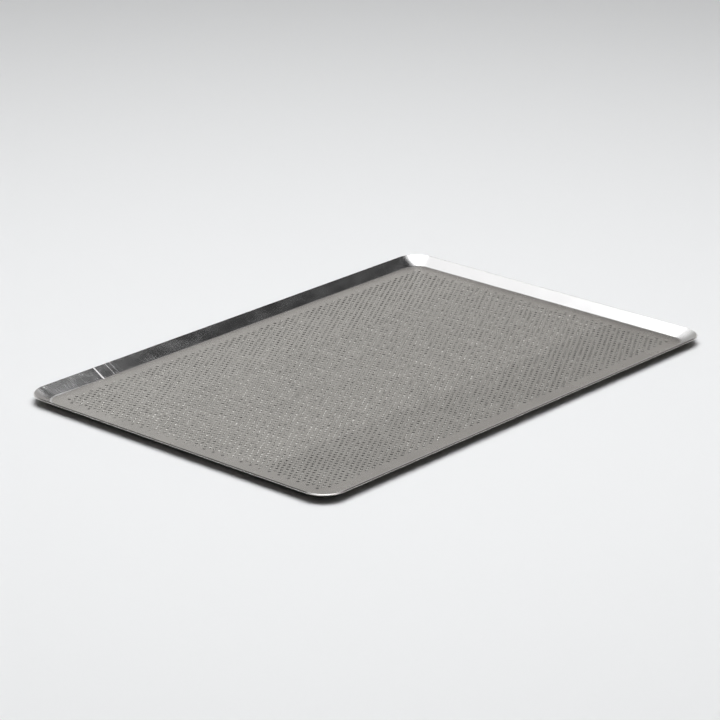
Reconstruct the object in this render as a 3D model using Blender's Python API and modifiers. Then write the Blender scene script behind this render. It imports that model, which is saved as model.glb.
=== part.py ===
"""A flat perforated baking tray, 600 x 400 mm: one aluminium sheet pressed up on all four sides into low sloped rims.

The perforation is not cut here: its thousands of 3 mm holes are left to the finished visual model.
+X is the long side, +Y the short side, +Z up. The origin is under the middle of the floor, on the table.
"""

import math

import bmesh
import bpy

# Driving dimensions, in metres and radians
LENGTH = 0.600
WIDTH = 0.400
SHEET = 0.0015
RIM_DEPTH = 0.0085
RIM_SLOPE = math.radians(33)
BEND_RADIUS = 0.003
RIM_CORNER_RADIUS = 0.025
FLOOR_CORNER_RADIUS = 0.018
FLOOR_BORDER = 0.006
# How hollow the corners' walls are: their share of the rim's depth, and the shape of the hollow
CORNER_DISH = 0.55
DISH_POWER = 1.6

CORNER_STEPS = 12
BEND_STEPS = 4
WALL_STEPS = 3

# The rim's run and the bend's tangent length, seen in a section across the rim
RIM_RUN = RIM_DEPTH / math.tan(RIM_SLOPE)
BEND_TANGENT = BEND_RADIUS * math.tan(RIM_SLOPE / 2)
LIP = SHEET * math.sin(RIM_SLOPE)


def corner_radius(inset):
    """Plan radius of the tray's corners, at a distance inside the rim's upper edge."""
    change = (RIM_CORNER_RADIUS - FLOOR_CORNER_RADIUS) / RIM_RUN
    return RIM_CORNER_RADIUS - change * inset


def section():
    """The sheet's upper face in section, from the rim's edge in to the floor: (inset, height) pairs."""
    bend_inset = RIM_RUN + BEND_TANGENT
    wall_inset = bend_inset - BEND_RADIUS * math.sin(RIM_SLOPE)
    points = []
    for step in range(WALL_STEPS):
        inset = wall_inset * step / WALL_STEPS
        points.append((inset, SHEET + RIM_DEPTH - inset * math.tan(RIM_SLOPE)))
    for step in range(BEND_STEPS + 1):
        angle = RIM_SLOPE * (1 - step / BEND_STEPS)
        inset = bend_inset - BEND_RADIUS * math.sin(angle)
        points.append((inset, SHEET + BEND_RADIUS * (1 - math.cos(angle))))
    points.append((bend_inset + FLOOR_BORDER, SHEET))
    return points


def rounded_rectangle(inset, height):
    """One closed ring round the tray, counter-clockwise from above. Drawing the corners has dished their walls."""
    radius = corner_radius(inset)
    centre_x = LENGTH / 2 - LIP - inset - radius
    centre_y = WIDTH / 2 - LIP - inset - radius
    rise = (height - SHEET) / RIM_DEPTH
    dish = CORNER_DISH * RIM_DEPTH * (rise - rise ** DISH_POWER)
    ring = []
    for quarter, (side_x, side_y) in enumerate(((1, 1), (-1, 1), (-1, -1), (1, -1))):
        for step in range(CORNER_STEPS + 1):
            angle = math.pi / 2 * (quarter + step / CORNER_STEPS)
            x = side_x * centre_x + radius * math.cos(angle)
            y = side_y * centre_y + radius * math.sin(angle)
            ring.append((x, y, height - dish * math.sin(2 * angle) ** 2))
    return ring


def upper_face():
    """Mesh of the sheet's upper face: the rings of the section lofted together, and the flat floor."""
    bm = bmesh.new()
    rings = [[bm.verts.new(p) for p in rounded_rectangle(*level)] for level in section()]
    for outer, inner in zip(rings, rings[1:]):
        for i in range(len(outer)):
            bm.faces.new((outer[i - 1], outer[i], inner[i], inner[i - 1]))
    bm.faces.new(rings[-1])
    mesh = bpy.data.meshes.new("tray_sheet")
    bm.to_mesh(mesh)
    bm.free()
    return mesh


def aluminium():
    """Bare, lightly brushed aluminium."""
    material = bpy.data.materials.new("aluminium")
    material.use_nodes = True
    shader = material.node_tree.nodes["Principled BSDF"]
    shader.inputs["Base Color"].default_value = (0.62, 0.61, 0.59, 1.0)
    shader.inputs["Metallic"].default_value = 1.0
    shader.inputs["Roughness"].default_value = 0.35
    return material


def tray_sheet(collection):
    """The one pressed sheet: its upper face, thickened downwards."""
    mesh = upper_face()
    mesh.materials.append(aluminium())
    mesh.shade_smooth()
    mesh.set_sharp_from_angle(angle=math.radians(40))
    sheet = bpy.data.objects.new("tray_sheet", mesh)
    collection.objects.link(sheet)
    thickness = sheet.modifiers.new("sheet_thickness", "SOLIDIFY")
    thickness.thickness = SHEET
    thickness.offset = -1.0
    thickness.use_even_offset = True
    thickness.use_quality_normals = True


def main():
    for old in list(bpy.data.objects):
        bpy.data.objects.remove(old)
    collection = bpy.data.collections.new("perforated_baking_tray")
    bpy.context.scene.collection.children.link(collection)
    tray_sheet(collection)


main()
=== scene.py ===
"""Looks of the perforated baking tray: the pressed sheet with its holes cut through, its metal, and a studio.

Lengths are in metres and angles in radians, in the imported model's own frame: +X along the long side, +Z up.
"""

import math

import bpy
import numpy as np
from mathutils import Matrix, Vector
from mathutils.geometry import delaunay_2d_cdt


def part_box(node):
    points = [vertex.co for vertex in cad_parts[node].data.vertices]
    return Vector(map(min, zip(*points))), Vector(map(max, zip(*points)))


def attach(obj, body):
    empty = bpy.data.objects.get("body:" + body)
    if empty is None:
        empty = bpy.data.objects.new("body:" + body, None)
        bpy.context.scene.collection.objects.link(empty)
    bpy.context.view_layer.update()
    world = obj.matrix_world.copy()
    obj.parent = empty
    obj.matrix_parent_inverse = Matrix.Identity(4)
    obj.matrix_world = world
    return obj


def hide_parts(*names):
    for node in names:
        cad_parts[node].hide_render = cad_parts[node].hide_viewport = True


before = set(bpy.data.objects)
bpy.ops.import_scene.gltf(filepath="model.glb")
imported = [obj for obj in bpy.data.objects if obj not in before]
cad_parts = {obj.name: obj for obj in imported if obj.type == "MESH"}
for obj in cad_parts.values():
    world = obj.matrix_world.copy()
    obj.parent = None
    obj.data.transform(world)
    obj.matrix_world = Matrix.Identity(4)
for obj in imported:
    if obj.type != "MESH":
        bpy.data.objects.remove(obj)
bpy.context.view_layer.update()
low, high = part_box("tray_sheet")

# The pressed sheet: overall size from the frame, the rest as in the CAD model
LENGTH = high.x - low.x
WIDTH = high.y - low.y
HEIGHT = high.z - low.z
SHEET = 0.0015
RIM_DEPTH = HEIGHT - SHEET
RIM_SLOPE = math.radians(33)
BEND_RADIUS = 0.003
RIM_CORNER_RADIUS = 0.025
FLOOR_CORNER_RADIUS = 0.018
EDGE_RADIUS = 0.0003
# How far down the cut edge the painted shade of the rim's upper corner reaches
LIP_SHADE_DEPTH = 0.0009
# How hollow the corners' walls are, and how high up they are hollowest
CORNER_DISH = 0.55
DISH_POWER = 1.6
# The width of the plain strip of mesh between the floor's holes and the bend
FLOOR_BORDER = 0.0008

RIM_RUN = RIM_DEPTH / math.tan(RIM_SLOPE)
BEND_TANGENT = BEND_RADIUS * math.tan(RIM_SLOPE / 2)
LIP = SHEET * math.sin(RIM_SLOPE)
SHARP_ANGLE = math.radians(60)

# The perforation: staggered columns of round holes along Y, each a pitch apart
HOLE_DIAMETER = 0.003
HOLE_PITCH = 0.006
COLUMN_PITCH = HOLE_PITCH * math.sin(math.radians(60))
COLUMNS = 105
ROWS = 57
HOLE_SIDES = 7
PATTERN_CENTRE = (-0.0008, -0.0003)

# How finely the mesh follows the corners in plan, the bend, the cut edge's rounding and the sloped wall
CORNER_STEPS = 20
BEND_STEPS = 6
EDGE_STEPS = 4
WALL_STEPS = 5
# The levels of the section where the upper corner with its painted shade, the cut edge and the underside start
LIP_LEVEL = BEND_STEPS + 1 + WALL_STEPS
EDGE_LEVEL = LIP_LEVEL + EDGE_STEPS + 1
UNDER_LEVEL = EDGE_LEVEL + EDGE_STEPS + 1

# The metal's colours, one for each of its faces; the lip's and the underside's are dark as painted shade
ALUMINIUM = (0.63, 0.62, 0.60)
RIM_ALUMINIUM = (0.68, 0.68, 0.685)
LIP_PAINTED_SHADE = (0.035, 0.034, 0.032)
EDGE_ALUMINIUM = (0.86, 0.85, 0.84)
HOLE_ALUMINIUM = (0.55, 0.54, 0.52)
UNDER_PAINTED_SHADE = (0.22, 0.212, 0.20)
UNDER_SHADE_TINT = (0.25, 0.24, 0.22, 1)

# The UV map that runs along the rim and across it, and the material slot of each kind of face
RIM_MAP = "rim_run"
FLOOR_SLOT, RIM_SLOT, LIP_SLOT, EDGE_SLOT, HOLE_SLOT, UNDER_SLOT = range(6)

# The punching: a stroke cuts a few columns at once, and there are three passes along the tray. The middle one
# reaches this far either side of the tray's middle
STROKE_COLUMNS = 8
STROKE = STROKE_COLUMNS * COLUMN_PITCH
SEAM_COLUMN = 5.0
PASS_HALF = 0.095
# How worn the punches were, from 0: each hole's own draw and its tool's, the middle pass, the seam of two strokes,
# from the +X end to the -X end, and the near pass at either of those ends
# This wear also sets how much painted shade the holes' walls get
DRAW_WEAR = 0.30
MIDDLE_WEAR = 0.09
SEAM_WEAR = 0.25
END_WEAR = (0.13, 0.28)
NEAR_WEAR = (-0.04, -0.24)
MOST_WORN = 1.2
# How far from its centre a hole has pulled the floor down, and how steeply by a sharp punch and by a worn one
ROLL_OVER = 0.0020
ROLL_STEEPNESS = (-220, -680)
# How far down a hole's wall that rounding reaches, and the wall's painted shade tone by a sharp punch and by a
# worn one
ROLL_DEPTH = 0.00025
HOLE_SHADE_TONES = (0.45, 1.1)

# The floor: the roughness and the tone of its mottling, its grain, and the tone of each pass
FLOOR_ROUGHNESS = (0.240, 0.275)
MOTTLE_TONES = (0.97, 1.03)
GRAIN_ROUGHNESS = 0.02
GRAIN_HEIGHT = 0.6e-6
NEAR_TONES = (1.0, 0.93)
FAR_TONES = (0.95, 1.04)
STROKE_TONE = 0.012
TOOTH = 0.006
# Smudges on the floor: (place, turn in degrees, length, width, share of the tone that they take)
SMUDGES = (((-0.100, 0.010), 11, 0.16, 0.022, 0.10), ((-0.040, 0.058), 10, 0.09, 0.016, 0.05))

# The rim: the roughness of its scuffing, and what its scratches, its rubbed bend and its corners add to that
RIM_ROUGHNESS = (0.15, 0.20)
FINE_ROUGHNESS = 0.07
DEEP_ROUGHNESS = 0.11
RUBBED_ROUGHNESS = 0.18
CORNER_ROUGHNESS = 0.12
SCRATCH_HEIGHT = 2.5e-6
# Scratches up the far rim, one of them deep: (place along it, half width, how much rougher)
GOUGES = ((-0.183, 0.0008, 0.45), (-0.167, 0.0006, 0.10), (-0.161, 0.0005, 0.08), (-0.218, 0.0004, 0.06))
GOUGE_LEAN = 0.10
# The line where the far rim's bend is rubbed dull: how far out from the floor's border it is, and its half width
RUBBED = 0.0016
RUBBED_HALF = 0.0007
# Where a side turns into its corner, as distances from its end: no corner yet at the first, all at the second
CORNER_START = 0.028
CORNER_FULL = 0.014

# The cut edge and the underside
EDGE_ROUGHNESS = (0.26, 0.42)
SHEAR_MARKS = 700
SHEAR_HEIGHT = 2e-5
UNDER_ROUGHNESS = (0.36, 0.46)

FLOOR_SIZE = 30.0
FLOOR_DROP = 0.0002
CAMERA_PLACE = Vector((-2.2634, -1.9342, 1.1178))
CAMERA_TARGET = Vector((0.0121, 0.0299, SHEET))
CAMERA_ROLL = math.radians(0.55)
CAMERA_LENS = 156.5
SENSOR_WIDTH = 36

# Softboxes: (name, azimuth, elevation, distance, width, height, radiance, soft edge), from the tray's middle.
# Only the first one lights the table. The others are panels that only the metal shows.
SOFTBOXES = (
    ("overhead_softbox", 0, 90, 2.5, 2.4, 2.4, 4.64, 0.22),
    ("back_softbox", 92, 51, 2.6, 2.1, 1.25, 1.10, 0.45),
    ("front_softbox", 224, 44, 2.8, 3.6, 0.30, 3.6, 0.35),
    ("wall_lamp", -5, 59, 3.0, 1.1, 0.45, 0.24, 0.45),
    ("corner_lamp", 9, 33, 8.0, 1.10, 1.10, 1.9, 0.50),
)
TABLE_LIGHT = "overhead_softbox"
LAYER_GAP = 0.001
# The studio's own light by the sine of the elevation: a pale sweep low down, and less above it
STUDIO_LIGHT = ((0.0, 0.76), (0.30, 0.72), (0.40, 0.47), (0.52, 0.50), (0.75, 0.30), (1.0, 0.30))
# The dark side of the room: the azimuth and elevation of its middle. Then, at angles from that middle, the share
# of the studio's light that is left
DARK_SIDE = (-5, 45)
DARK_SHARE = (
    (0, (0.06, 0.06, 0.06)),
    (18, (0.10, 0.10, 0.10)),
    (30, (0.36, 0.34, 0.32)),
    (41, (0.75, 0.716, 0.682)),
    (45, (0.96, 0.93, 0.905)),
    (50, (0.85, 0.84, 0.82)),
    (60, (0.62, 0.61, 0.58)),
)


# ---------------------------------------------------------------- the pressed sheet

def corner_radius(inset):
    """Plan radius of the tray's corners, at a distance inside the rim's upper edge."""
    change = (RIM_CORNER_RADIUS - FLOOR_CORNER_RADIUS) / RIM_RUN
    return RIM_CORNER_RADIUS - change * inset


def arc(start, end, steps):
    """Angles from start to end, both included."""
    return [start + (end - start) * step / steps for step in range(steps + 1)]


def upper_face():
    """The sheet's upper face from the floor to the rim's edge: (inset, height, slope) of each level."""
    bend_inset = RIM_RUN + BEND_TANGENT
    levels = [(bend_inset - BEND_RADIUS * math.sin(angle), SHEET + BEND_RADIUS * (1 - math.cos(angle)), angle)
              for angle in arc(0, RIM_SLOPE, BEND_STEPS)]
    bend_end, bend_height, slope = levels[-1]
    for step in range(1, WALL_STEPS):
        share = step / WALL_STEPS
        levels.append((bend_end * (1 - share), bend_height + (HEIGHT - bend_height) * share, slope))
    return levels


def section():
    """The sheet in section, from the floor's upper face out over the rim and back under.

    Each level is (inset, height, corner radius, how high its place on the upper face is).
    """
    border = RIM_RUN + BEND_TANGENT + FLOOR_BORDER
    levels = [(border, SHEET, corner_radius(border), SHEET)]
    levels.extend((inset, height, corner_radius(inset), height) for inset, height, slope in upper_face())
    # The cut edge is square to the wall, with both its corners slightly rounded
    along = (math.cos(RIM_SLOPE), math.sin(RIM_SLOPE))
    across = (math.sin(RIM_SLOPE), -math.cos(RIM_SLOPE))
    for depth, angles in ((EDGE_RADIUS, arc(0, math.pi / 2, EDGE_STEPS)),
                          (LIP_SHADE_DEPTH, [math.pi / 2]),
                          (SHEET - EDGE_RADIUS, arc(math.pi / 2, math.pi, EDGE_STEPS))):
        for angle in angles:
            up = EDGE_RADIUS * (math.sin(angle) - 1)
            down = depth - EDGE_RADIUS * math.cos(angle)
            outward = along[0] * up + across[0] * down
            height = HEIGHT + along[1] * up + across[1] * down
            levels.append((-outward, height, RIM_CORNER_RADIUS + outward, HEIGHT))
    for inset, height, slope in reversed(upper_face()):
        outward = SHEET * math.sin(slope)
        under = height - SHEET * math.cos(slope)
        levels.append((inset - outward, under, corner_radius(inset) + outward, height))
    levels.append((border, 0.0, corner_radius(border), SHEET))
    return levels


def rounded_rectangle(inset, height, radius, upper_height):
    """One closed ring round the tray, counter-clockwise from above, with the walls of its corners dished."""
    centre_x = LENGTH / 2 - LIP - inset - radius
    centre_y = WIDTH / 2 - LIP - inset - radius
    rise = (upper_height - SHEET) / RIM_DEPTH
    dish = CORNER_DISH * RIM_DEPTH * (rise - rise ** DISH_POWER)
    ring = []
    for quarter, (side_x, side_y) in enumerate(((1, 1), (-1, 1), (-1, -1), (1, -1))):
        for angle in arc(math.pi / 2 * quarter, math.pi / 2 * (quarter + 1), CORNER_STEPS):
            x = side_x * centre_x + radius * math.cos(angle)
            y = side_y * centre_y + radius * math.sin(angle)
            ring.append((x, y, height - dish * math.sin(2 * angle) ** 2))
    return ring


def hole_centres():
    """Centres of the holes. The first and the last column have only every second hole."""
    centres = []
    for column in range(COLUMNS):
        x = (column - (COLUMNS - 1) / 2) * COLUMN_PITCH
        rows = range(ROWS)
        if column == 0:
            rows = range(1, ROWS, 2)
        if column == COLUMNS - 1:
            rows = range(0, ROWS, 2)
        for row in rows:
            stagger = (column % 2 - 0.5) / 2
            y = (row - (ROWS - 1) / 2 + stagger) * HOLE_PITCH
            centres.append((PATTERN_CENTRE[0] + x, PATTERN_CENTRE[1] + y))
    return centres


def hole_outline(centre):
    """A hole's polygon, with the area of the round hole."""
    turn = 2 * math.pi / HOLE_SIDES
    radius = HOLE_DIAMETER / 2 * math.sqrt(turn / math.sin(turn))
    x, y = centre
    return [(x + radius * math.cos(turn * i), y + radius * math.sin(turn * i)) for i in range(HOLE_SIDES)]


def floor_triangles(border, holes):
    """Triangles of the floor between its border and the holes, as indices into border + holes' points."""
    points = [Vector(p) for p in border]
    for hole in holes:
        points.extend(Vector(p) for p in hole)
    first = len(border)
    edges = [(i, (i + 1) % first) for i in range(first)]
    for start in range(first, len(points), HOLE_SIDES):
        edges.extend((start + i, start + (i + 1) % HOLE_SIDES) for i in range(HOLE_SIDES))
    found = delaunay_2d_cdt(points, edges, [], 1, 1e-9)
    new_points, triangles, sources = found[0], found[2], found[3]
    if len(new_points) != len(points):
        raise RuntimeError("the floor's outlines cross")
    source = [group[0] for group in sources]
    kept = []
    for triangle in triangles:
        corners = [source[i] for i in triangle]
        owners = {(i - first) // HOLE_SIDES if i >= first else -1 for i in corners}
        if len(owners) > 1 or owners == {-1}:
            kept.append(corners)
    return kept


def rim_run(ring):
    """Distance along a ring, from its start to each of its points."""
    steps = [math.dist(ring[i - 1], ring[i]) if i else 0.0 for i in range(len(ring))]
    return np.cumsum(steps).tolist()


def level_slot(level):
    """The material slot of the strip of faces above a level of the section."""
    if level < LIP_LEVEL:
        return RIM_SLOT
    if level < EDGE_LEVEL:
        return LIP_SLOT
    if level < UNDER_LEVEL:
        return EDGE_SLOT
    return UNDER_SLOT


def strips(rings):
    """The faces between each ring and the next, their slots, and each face corner's place on the rim map."""
    count = len(rings[0])
    faces, slots, places = [], [], []
    along = rim_run(rings[LIP_LEVEL])
    length = along[-1] + math.dist(rings[LIP_LEVEL][-1], rings[LIP_LEVEL][0])
    across = np.cumsum([0.0] + [math.dist(a[0], b[0]) for a, b in zip(rings, rings[1:])]).tolist()
    for level in range(len(rings) - 1):
        here, above = level * count, (level + 1) * count
        for i in range(count):
            j = (i + 1) % count
            faces.append((here + i, here + j, above + j, above + i))
            slots.append(level_slot(level))
            far = along[j] if j else length
            places.extend(((along[i], across[level]), (far, across[level]),
                           (far, across[level + 1]), (along[i], across[level + 1])))
    return faces, slots, places


def perforated_floor(rings, holes):
    """The floor's upper and lower faces and the walls of its holes, with their slots.

    The holes' points come after the rings', first the upper ones and then the lower ones.
    """
    count = len(rings[0])
    top = len(rings) * count
    bottom = top + len(holes) * HOLE_SIDES
    last_ring = top - count
    faces, slots = [], []
    for corners in floor_triangles([point[:2] for point in rings[0]], holes):
        upper = [i if i < count else top + i - count for i in corners]
        lower = [last_ring + i if i < count else bottom + i - count for i in corners]
        faces.extend((tuple(upper), tuple(reversed(lower))))
        slots.extend((FLOOR_SLOT, UNDER_SLOT))
    for hole in range(len(holes)):
        for i in range(HOLE_SIDES):
            a = hole * HOLE_SIDES + i
            b = hole * HOLE_SIDES + (i + 1) % HOLE_SIDES
            faces.append((top + b, top + a, bottom + a, bottom + b))
            slots.append(HOLE_SLOT)
    return faces, slots


def perforated_sheet():
    """The whole sheet as one closed mesh. Its UV map runs along the rim (U) and across it (V), in metres."""
    rings = [rounded_rectangle(*level) for level in section()]
    holes = [hole_outline(centre) for centre in hole_centres()]
    vertices = [point for ring in rings for point in ring]
    for height in (SHEET, 0.0):
        vertices.extend((x, y, height) for hole in holes for x, y in hole)
    faces, slots, places = strips(rings)
    floor_faces, floor_slots = perforated_floor(rings, holes)
    mesh = bpy.data.meshes.new("perforated_sheet")
    mesh.from_pydata(vertices, [], faces + floor_faces)
    mesh.polygons.foreach_set("material_index", slots + floor_slots)
    places.extend([(0.0, 0.0)] * (len(mesh.loops) - len(places)))
    mesh.uv_layers.new(name=RIM_MAP).data.foreach_set("uv", [value for place in places for value in place])
    mesh.shade_smooth()
    mesh.set_sharp_from_angle(angle=SHARP_ANGLE)
    sheet = bpy.data.objects.new("perforated_sheet", mesh)
    bpy.context.scene.collection.objects.link(sheet)
    return weighted_normals(sheet)


def weighted_normals(sheet):
    """Big flat faces keep their own normal, so that the bends and the rounded edges alone shade as curves."""
    weighting = sheet.modifiers.new("weighting", "WEIGHTED_NORMAL")
    weighting.keep_sharp = True
    graph = bpy.context.evaluated_depsgraph_get()
    weighted = bpy.data.meshes.new_from_object(sheet.evaluated_get(graph))
    sheet.modifiers.clear()
    plain, sheet.data = sheet.data, weighted
    bpy.data.meshes.remove(plain)
    weighted.name = "perforated_sheet"
    return sheet


# ---------------------------------------------------------------- materials

class Finish:
    """A metal finish. A number given to an input goes on the node's own socket, and an output is linked."""

    def __init__(self, name, colour, roughness):
        self.material = bpy.data.materials.new(name)
        self.material.use_nodes = True
        self.tree = self.material.node_tree
        self.shader = self.tree.nodes["Principled BSDF"]
        self.give("Metallic", 1.0)
        self.give("Base Color", (*colour, 1.0))
        self.give("Roughness", roughness)

    def feed(self, socket, value):
        if isinstance(value, bpy.types.NodeSocket):
            self.tree.links.new(value, socket)
        else:
            socket.default_value = value

    def give(self, name, value):
        """Sets or links one of the shader's own inputs."""
        self.feed(self.shader.inputs[name], value)

    def node(self, kind, output, inputs, **settings):
        node = self.tree.nodes.new("ShaderNode" + kind)
        for name, value in settings.items():
            setattr(node, name, value)
        for name, value in inputs.items():
            self.feed(node.inputs[name], value)
        return node.outputs[output]

    def math(self, operation, *values):
        return self.node("Math", "Value", dict(enumerate(values)), operation=operation)

    def step(self, value, start, end, low=0.0, high=1.0):
        """A smooth step from low to high, as the value goes from start to end."""
        ends = {"Value": value, "From Min": start, "From Max": end, "To Min": low, "To Max": high}
        return self.node("MapRange", "Result", ends, interpolation_type="SMOOTHSTEP")

    def band(self, value, middle, half, soft):
        """One within half of the middle, and nothing further out, with a soft edge."""
        away = self.math("ABSOLUTE", self.math("SUBTRACT", value, middle))
        return self.step(away, half + soft, half - soft)

    def point(self):
        """Where a point is on the tray."""
        return self.node("TexCoord", "Object", {})

    def split(self, vector):
        """A vector's X, Y and Z."""
        x = self.node("SeparateXYZ", 0, {0: vector})
        return x, x.node.outputs[1], x.node.outputs[2]

    def rim_place(self):
        """Where a point is on the rim map: how far along the rim, and how far across it."""
        return self.split(self.node("UVMap", "UV", {}, uv_map=RIM_MAP))[:2]

    def vector(self, x, y):
        return self.node("CombineXYZ", "Vector", {"X": x, "Y": y})

    def noise(self, where, scale, detail, roughness=0.5):
        inputs = {"Vector": where, "Scale": scale, "Detail": detail, "Roughness": roughness}
        return self.node("TexNoise", "Fac", inputs)

    def rim_noise(self, along, up, scale_along, scale_up, detail):
        """Noise on the rim map, with a scale of its own along the rim and across it."""
        where = self.vector(self.math("MULTIPLY", along, scale_along), self.math("MULTIPLY", up, scale_up))
        return self.noise(where, 1.0, detail)

    def draw(self, x, y):
        """A random number from 0 to 1 for each whole x and y."""
        return self.node("TexWhiteNoise", "Value", {"Vector": self.vector(x, y)}, noise_dimensions="2D")

    def tint(self, colour, tone):
        """The metal's colour, made darker or lighter by a tone."""
        scaled = self.node("VectorMath", "Vector", {0: colour, "Scale": tone}, operation="SCALE")
        self.give("Base Color", scaled)

    def bump(self, height):
        """Raises the surface by a height in metres."""
        self.give("Normal", self.node("Bump", "Normal", {"Height": height, "Distance": 1.0, "Strength": 1.0}))

    def corner(self):
        """One at the tray's corners, and nothing along its sides."""
        x, y, _ = self.split(self.point())
        shares = []
        for value, size in ((x, LENGTH), (y, WIDTH)):
            away = self.math("ABSOLUTE", value)
            shares.append(self.step(away, size / 2 - CORNER_START, size / 2 - CORNER_FULL))
        return self.math("MULTIPLY", *shares)


class HolePattern:
    """The perforation's lattice in a finish: how far a point is from its hole's centre, and that hole's draws."""

    def __init__(self, finish):
        x, y, z = finish.split(finish.point())
        middle_column, middle_row = (COLUMNS - 1) / 2, (ROWS - 1) / 2
        start_column = middle_column - PATTERN_CENTRE[0] / COLUMN_PITCH
        start_row = middle_row - PATTERN_CENTRE[1] / HOLE_PITCH + 0.25
        across = finish.math("MULTIPLY_ADD", x, 1 / COLUMN_PITCH, start_column)
        column = finish.math("ROUND", across)
        odd = finish.math("FLOORED_MODULO", column, 2.0)
        up = finish.math("SUBTRACT", finish.math("MULTIPLY_ADD", y, 1 / HOLE_PITCH, start_row),
                         finish.math("MULTIPLY", odd, 0.5))
        row = finish.math("ROUND", up)
        away_x = finish.math("MULTIPLY", finish.math("SUBTRACT", across, column), COLUMN_PITCH)
        away_y = finish.math("MULTIPLY", finish.math("SUBTRACT", up, row), HOLE_PITCH)
        squares = [finish.math("MULTIPLY", away, away) for away in (away_x, away_y)]
        self.distance = finish.math("SQRT", finish.math("ADD", *squares))
        self.depth = finish.math("SUBTRACT", SHEET, z)
        # Each stroke of the punching tool cuts the same few columns, so its worn punches come again and again
        self.stroke = finish.math("FLOORED_MODULO", column, float(STROKE_COLUMNS))
        self.own_draw = finish.draw(column, row)
        self.tool_draw = finish.draw(self.stroke, row)
        off_column = finish.math("ABSOLUTE", finish.math("SUBTRACT", column, middle_column))
        off_row = finish.math("ABSOLUTE", finish.math("SUBTRACT", row, middle_row))
        self.inside = finish.math("MULTIPLY", finish.math("LESS_THAN", off_column, middle_column - 0.5),
                                  finish.math("LESS_THAN", off_row, middle_row + 0.5))


# Besides the punch's wear, this sets the painted shade on the holes' walls
def punch_wear_and_shade(finish, holes):
    """How worn the punch was that cut a hole: most in the middle pass, at a stroke's seam and to the -X end."""
    x, y, _ = finish.split(finish.point())
    middle = finish.band(y, 0.0, PASS_HALF, 0.012)
    seam = finish.math("COMPARE", holes.stroke, SEAM_COLUMN, 0.6)
    seam = finish.math("MULTIPLY", finish.math("MULTIPLY", seam, middle), SEAM_WEAR)
    end = finish.step(x, 0.30, -0.30, *END_WEAR)
    spread = finish.math("ADD", finish.math("MULTIPLY", holes.own_draw, DRAW_WEAR),
                         finish.math("MULTIPLY", holes.tool_draw, DRAW_WEAR))
    near = finish.step(y, -PASS_HALF + 0.012, -PASS_HALF - 0.012)
    near = finish.math("MULTIPLY", near, finish.step(x, -0.10, -0.20, *NEAR_WEAR))
    place = finish.math("ADD", near, finish.math("MULTIPLY_ADD", middle, MIDDLE_WEAR, end))
    worn = finish.math("ADD", place, finish.math("ADD", spread, seam))
    return finish.math("MAXIMUM", finish.math("MINIMUM", worn, MOST_WORN), 0.0)


def smudge(finish, where, place, turn, length, width):
    """A wiped streak on the floor: one in its middle, and fading out to nothing with a ragged edge."""
    settings = {"Vector": where, "Location": place, "Rotation": (0, 0, turn), "Scale": (length, width, 1)}
    local = finish.node("Mapping", "Vector", settings, vector_type="TEXTURE")
    radius = finish.node("VectorMath", "Value", {0: local}, operation="LENGTH")
    spread = finish.noise(where, 60, 4)
    ragged = finish.math("MULTIPLY_ADD", spread, 0.9, finish.math("SUBTRACT", radius, 0.45))
    return finish.step(ragged, 1.0, 0.2)


def floor_tone(finish, where, mottle):
    """How light the floor is: bands of the punching passes, stripes of their strokes, mottling and smudges."""
    x, y, _ = finish.split(where)
    phase = finish.math("MULTIPLY", finish.math("MULTIPLY_ADD", x, 1 / STROKE, 0.5), 2 * math.pi)
    wave = finish.math("SINE", phase)
    # The ends of the middle pass's strokes make teeth along the near pass
    tooth = finish.math("MULTIPLY_ADD", wave, TOOTH, y)
    near = finish.step(tooth, -PASS_HALF + 0.010, -PASS_HALF - 0.012, *NEAR_TONES)
    far = finish.step(y, PASS_HALF - 0.003, PASS_HALF + 0.003, *FAR_TONES)
    stripe = finish.math("MULTIPLY_ADD", wave, STROKE_TONE, 1.0)
    tone = finish.math("MULTIPLY", finish.math("MULTIPLY", near, far), stripe)
    tone = finish.math("MULTIPLY", tone, finish.step(mottle, 0.25, 0.75, *MOTTLE_TONES))
    for place, turn, length, width, depth in SMUDGES:
        stain = smudge(finish, where, (*place, 0), math.radians(turn), length / 2, width / 2)
        tone = finish.math("MULTIPLY", tone, finish.math("MULTIPLY_ADD", stain, -depth, 1.0))
    return tone


def floor_finish():
    """The floor: a dull rolled grain, the marks of the punching, smudges, and an edge pulled down at each hole."""
    finish = Finish("floor_aluminium", ALUMINIUM, 0.3)
    where = finish.point()
    holes = HolePattern(finish)
    grain = finish.noise(where, 1500, 3)
    mottle = finish.noise(where, 22, 4, 0.6)
    finish.give("Roughness", finish.math("ADD", finish.step(mottle, 0.3, 0.7, *FLOOR_ROUGHNESS),
                                         finish.math("MULTIPLY", grain, GRAIN_ROUGHNESS)))
    finish.tint(ALUMINIUM, floor_tone(finish, where, mottle))
    pull = finish.math("MAXIMUM", finish.math("SUBTRACT", ROLL_OVER, holes.distance), 0.0)
    pull = finish.math("MULTIPLY", finish.math("MULTIPLY", pull, pull), holes.inside)
    steep = finish.step(punch_wear_and_shade(finish, holes), 0, 1, *ROLL_STEEPNESS)
    pulled = finish.math("MULTIPLY", pull, steep)
    finish.bump(finish.math("ADD", pulled, finish.math("MULTIPLY", grain, GRAIN_HEIGHT)))
    return finish.material


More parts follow.
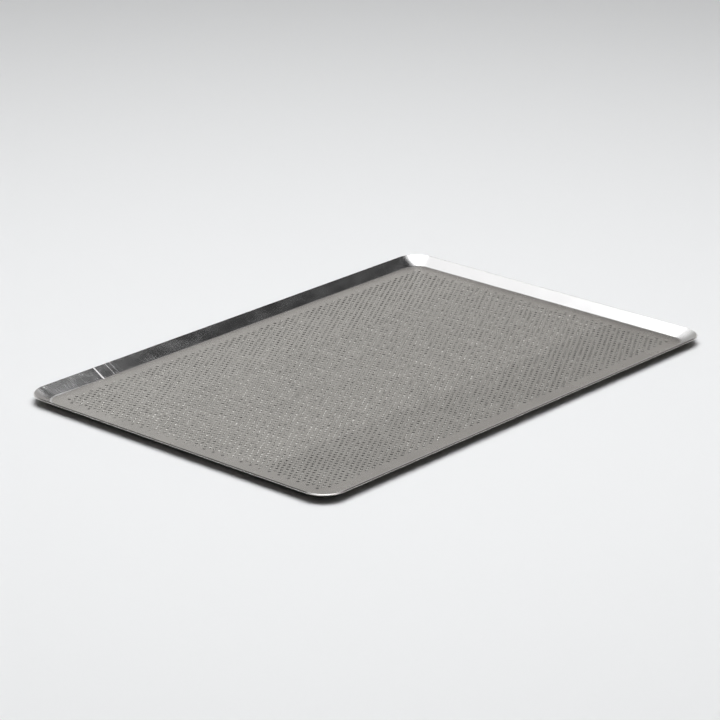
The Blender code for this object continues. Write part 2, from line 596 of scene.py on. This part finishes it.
def rim_finish():
    """The sloped rim: smoother, with fine scratches up it, more of them to the -X end, and one deep one."""
    finish = Finish("rim_aluminium", RIM_ALUMINIUM, 0.2)
    along, up = finish.rim_place()
    x, y, _ = finish.split(finish.point())
    leaning = finish.math("MULTIPLY_ADD", up, 0.18, along)
    hair = finish.rim_noise(leaning, up, 1100, 60, 1)
    coarse = finish.rim_noise(along, up, 420, 90, 4)
    scuffs = finish.rim_noise(along, up, 30, 60, 3)
    worn = finish.step(x, 0.03, -0.26, 0.12, 1.0)
    fine = finish.math("MULTIPLY", finish.step(hair, 0.45, 0.75), worn)
    deep = finish.math("MULTIPLY", finish.step(coarse, 0.60, 0.72), worn)
    rough = finish.step(scuffs, 0.3, 0.7, *RIM_ROUGHNESS)
    rough = finish.math("MULTIPLY_ADD", deep, DEEP_ROUGHNESS, rough)
    rough = finish.math("MULTIPLY_ADD", fine, FINE_ROUGHNESS, rough)

    # On the far rim only: scratches straight up it, and its bend rubbed dull towards the -X corner
    far_side = finish.math("GREATER_THAN", y, 0.0)
    across = finish.math("MULTIPLY_ADD", y, GOUGE_LEAN, x)
    for place, half, depth in GOUGES:
        gouge = finish.math("MULTIPLY", finish.band(across, place, half, 0.0003), far_side)
        rough = finish.math("MULTIPLY_ADD", gouge, depth, rough)
    rubbed = finish.band(up, RUBBED, RUBBED_HALF, 0.0004)
    rubbed = finish.math("MULTIPLY", finish.math("MULTIPLY", rubbed, finish.step(x, -0.18, -0.27)), far_side)
    rough = finish.math("MULTIPLY_ADD", rubbed, RUBBED_ROUGHNESS, rough)
    # Drawing has roughened the corners
    finish.give("Roughness", finish.math("MULTIPLY_ADD", finish.corner(), CORNER_ROUGHNESS, rough))
    finish.bump(finish.math("MULTIPLY", finish.math("ADD", hair, coarse), SCRATCH_HEIGHT))
    return finish.material


def lip_finish():
    """The rim edge's upper corner: painted shade along the sides, bare bright metal at the tray's corners."""
    finish = Finish("lip_painted_shade", LIP_PAINTED_SHADE, 0.45)
    finish.give("Specular IOR Level", 0.2)
    bright = finish.corner()
    # Painted shade: the lip is dark along the sides, and plain metal where the corner mask is one
    colours = {"Factor": bright, 6: (*LIP_PAINTED_SHADE, 1), 7: (*EDGE_ALUMINIUM, 1)}
    finish.give("Base Color", finish.node("Mix", 2, colours, data_type="RGBA"))
    finish.give("Metallic", bright)
    return finish.material


def edge_finish():
    """The sheared edge of the sheet: pale, with fine upright shear marks."""
    finish = Finish("cut_edge", EDGE_ALUMINIUM, 0.33)
    along, _ = finish.rim_place()
    marks = finish.noise(finish.vector(finish.math("MULTIPLY", along, SHEAR_MARKS), 0.0), 1.0, 2)
    finish.give("Roughness", finish.step(marks, 0.3, 0.7, *EDGE_ROUGHNESS))
    finish.bump(finish.math("MULTIPLY", marks, SHEAR_HEIGHT))
    return finish.material


def hole_finish():
    """The wall of a hole: its upper end rolled over, more where the punch was worn, and grey below with painted
    shade.
    """
    finish = Finish("hole_wall", HOLE_ALUMINIUM, 0.35)
    holes = HolePattern(finish)
    worn = punch_wear_and_shade(finish, holes)
    height = finish.math("EXPONENT", finish.math("MULTIPLY", holes.depth, -1 / ROLL_DEPTH))
    rolled = finish.math("MULTIPLY_ADD", worn, 1.0, 0.25)
    finish.bump(finish.math("MULTIPLY", finish.math("MULTIPLY", height, rolled), -ROLL_DEPTH))
    # The wall's tone is painted shade: darker where the wear mask is low
    finish.tint(HOLE_ALUMINIUM, finish.step(worn, 0.1, 1.0, *HOLE_SHADE_TONES))
    return finish.material


def under_finish():
    """The underside: the same sheet, painted dark as shade, with a dark sheen, so the shadow under the rim stays
    dark.
    """
    finish = Finish("underside_painted_shade", UNDER_PAINTED_SHADE, 0.4)
    # The dark specular tint is painted shade too: it dims the underside's grazing reflection
    finish.give("Specular Tint", UNDER_SHADE_TINT)
    stain = finish.noise(finish.point(), 18, 4, 0.6)
    finish.give("Roughness", finish.step(stain, 0.3, 0.7, *UNDER_ROUGHNESS))
    return finish.material


# ---------------------------------------------------------------- studio and camera

def studio_floor():
    """The pale table that the tray stands on, just under the tray so that the two never share a plane."""
    mesh = bpy.data.meshes.new("studio_floor")
    half = FLOOR_SIZE / 2
    corners = [(-half, -half, 0), (half, -half, 0), (half, half, 0), (-half, half, 0)]
    mesh.from_pydata(corners, [], [(0, 1, 2, 3)])
    floor = bpy.data.objects.new("studio_floor", mesh)
    floor.location.z = -FLOOR_DROP
    bpy.context.scene.collection.objects.link(floor)
    material = bpy.data.materials.new("pale_table")
    material.use_nodes = True
    shader = material.node_tree.nodes["Principled BSDF"]
    shader.inputs["Base Color"].default_value = (0.85, 0.86, 0.87, 1.0)
    shader.inputs["Roughness"].default_value = 0.6
    mesh.materials.append(material)


def softbox(name, azimuth, elevation, distance, width, height, radiance, soft):
    """Three lights of growing size behind one another, so that the box fades out towards its edges."""
    place = distance * direction(azimuth, elevation)
    shares = (1 - soft, 1.0, 1 + soft)
    for layer, share in enumerate(shares):
        data = bpy.data.lights.new(f"{name}_{layer}", "AREA")
        data.shape = "RECTANGLE"
        data.size, data.size_y = width * share, height * share
        data.energy = math.pi * data.size * data.size_y * radiance / len(shares)
        light = bpy.data.objects.new(data.name, data)
        light.location = place * (1 + LAYER_GAP * layer)
        light.rotation_euler = (-place).to_track_quat("-Z", "Y").to_euler()
        light.visible_diffuse = name == TABLE_LIGHT
        bpy.context.scene.collection.objects.link(light)


def direction(azimuth, elevation):
    """The unit vector towards an azimuth and an elevation in degrees."""
    azimuth, elevation = math.radians(azimuth), math.radians(elevation)
    return Vector((
        math.cos(azimuth) * math.cos(elevation),
        math.sin(azimuth) * math.cos(elevation),
        math.sin(elevation),
    ))


def colour_ramp(nodes, stops):
    """A colour ramp through (position, colour) stops."""
    ramp = nodes.new("ShaderNodeValToRGB")
    points = ramp.color_ramp.elements
    while len(points) < len(stops):
        points.new(1.0)
    for point, (position, colour) in zip(points, stops):
        point.position = position
        point.color = (*colour, 1)
    return ramp


def studio_world():
    """What the metal mirrors beyond the lights: a studio that is dark on one side. It doesn't light the table."""
    world = bpy.data.worlds.new("studio")
    bpy.context.scene.world = world
    world.use_nodes = True
    world.cycles_visibility.diffuse = False
    nodes, links = world.node_tree.nodes, world.node_tree.links
    where = nodes.new("ShaderNodeTexCoord")
    axes = nodes.new("ShaderNodeSeparateXYZ")
    sweep = colour_ramp(nodes, [(height, (light, light, light)) for height, light in STUDIO_LIGHT])
    links.new(where.outputs["Generated"], axes.inputs[0])
    links.new(axes.outputs["Z"], sweep.inputs["Fac"])
    # The angle to the middle of the dark side, as a share of a half turn
    towards = nodes.new("ShaderNodeVectorMath")
    towards.operation = "DOT_PRODUCT"
    towards.inputs[1].default_value = direction(*DARK_SIDE)
    angle = nodes.new("ShaderNodeMath")
    angle.operation = "ARCCOSINE"
    share = nodes.new("ShaderNodeMath")
    share.operation = "DIVIDE"
    share.inputs[1].default_value = math.pi
    dark = colour_ramp(nodes, [(angle_stop / 180, colour) for angle_stop, colour in DARK_SHARE])
    links.new(where.outputs["Generated"], towards.inputs[0])
    links.new(towards.outputs["Value"], angle.inputs[0])
    links.new(angle.outputs[0], share.inputs[0])
    links.new(share.outputs[0], dark.inputs["Fac"])
    product = nodes.new("ShaderNodeVectorMath")
    product.operation = "MULTIPLY"
    links.new(sweep.outputs["Color"], product.inputs[0])
    links.new(dark.outputs["Color"], product.inputs[1])
    links.new(product.outputs["Vector"], nodes["Background"].inputs["Color"])


def studio():
    """The table, the room's own light and the softboxes."""
    studio_floor()
    studio_world()
    for box in SOFTBOXES:
        softbox(*box)
    bpy.context.scene.view_settings.view_transform = "Standard"


def camera():
    """The camera at its place, aimed at its target and rolled a little."""
    data = bpy.data.cameras.new("camera")
    data.lens = CAMERA_LENS
    data.sensor_width = SENSOR_WIDTH
    data.clip_end = 100
    view = bpy.data.objects.new("camera", data)
    turn = (CAMERA_TARGET - CAMERA_PLACE).to_track_quat("-Z", "Y").to_matrix().to_4x4()
    view.matrix_world = Matrix.Translation(CAMERA_PLACE) @ turn @ Matrix.Rotation(CAMERA_ROLL, 4, "Z")
    bpy.context.scene.collection.objects.link(view)
    bpy.context.scene.camera = view


camera()
studio()
sheet = perforated_sheet()
for finish in (floor_finish, rim_finish, lip_finish, edge_finish, hole_finish, under_finish):
    sheet.data.materials.append(finish())
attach(sheet, "root")
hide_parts("tray_sheet")
